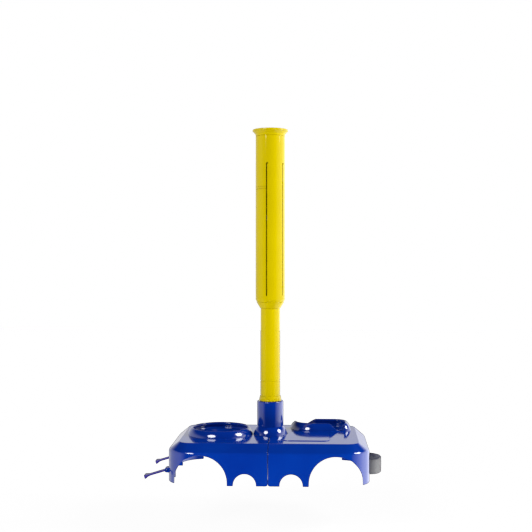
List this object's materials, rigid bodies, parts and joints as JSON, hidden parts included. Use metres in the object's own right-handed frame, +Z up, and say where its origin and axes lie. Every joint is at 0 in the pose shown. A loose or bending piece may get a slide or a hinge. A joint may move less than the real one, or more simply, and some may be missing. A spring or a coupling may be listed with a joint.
{
  "type": "batting tee",
  "caption": "Batting tee: yellow height-adjusting barrel on a removable post, in a blue base that folds shut like a case, with latches and a carry strap.",
  "frame": {"origin": "on the ground at the middle of the object's footprint, 11 mm to the left of the post's axis", "axes": "+Z up along the post, +X to the side with the carry strap, +Y to the back"},
  "size_m": [0.4932, 0.27, 0.731],
  "materials": {
    "base_blue": "glossy moulded blue plastic",
    "latch_blue": "satin flexible blue plastic",
    "post_yellow": "semi-gloss moulded yellow plastic",
    "webbing": "black woven webbing",
    "black_plastic": "matt moulded plastic",
    "steel": "plain zinc-plated steel"
  },
  "bodies": {
    "right_base": {"right_base_half": "base_blue", "pole_socket": "base_blue", "socket_screw_1": "steel", "socket_screw_2": "steel", "socket_screw_3": "steel", "carry_strap": "webbing", "strap_stop_front": "black_plastic", "strap_stop_rear": "black_plastic", "right_hinge_pin_front": "steel", "right_hinge_pin_rear": "steel"},
    "hinge_links": {"hinge_link_front": "base_blue", "hinge_link_rear": "base_blue"},
    "left_base": {"left_base_half": "base_blue", "left_hinge_pin_front": "steel", "left_hinge_pin_rear": "steel", "latch_pin_front": "steel", "latch_pin_rear": "steel"},
    "front_latch": {"latch_front": "latch_blue"},
    "rear_latch": {"latch_rear": "latch_blue"},
    "post": {"lower_tube": "post_yellow", "tube_end_plug": "post_yellow", "stop_collar": "post_yellow", "guide_bush": "black_plastic"},
    "barrel": {"barrel_sleeve": "post_yellow", "barrel_collar": "post_yellow", "ball_cup": "post_yellow"}
  },
  "joints": [
    {"name": "base_fold", "type": "hinge", "parent": "right_base", "child": "hinge_links", "pos_m": [0.01515, 0, 0.004], "axis": [0, -1, 0], "range_deg": [0, 90]},
    {"name": "left_half_fold", "type": "hinge", "parent": "hinge_links", "child": "left_base", "pos_m": [0.00685, 0, 0.004], "axis": [0, -1, 0], "range_deg": [0, 90]},
    {"name": "front_latch_swing", "type": "hinge", "parent": "left_base", "child": "front_latch", "pos_m": [-0.2, -0.074, 0.019], "axis": [0, -1, 0], "range_deg": [-100, 76]},
    {"name": "rear_latch_swing", "type": "hinge", "parent": "left_base", "child": "rear_latch", "pos_m": [-0.2, 0.074, 0.019], "axis": [0, -1, 0], "range_deg": [-100, 76]},
    {"name": "post_lift", "type": "slide", "parent": "right_base", "child": "post", "axis": [0, 0, 1], "range_m": [0, 0.07]},
    {"name": "barrel_height", "type": "slide", "parent": "post", "child": "barrel", "axis": [0, 0, 1], "range_m": [-0.15, 0.05]}
  ],
  "couplings": [
    {"joint": "left_half_fold", "follows": "base_fold", "ratio": 1}
  ]
}
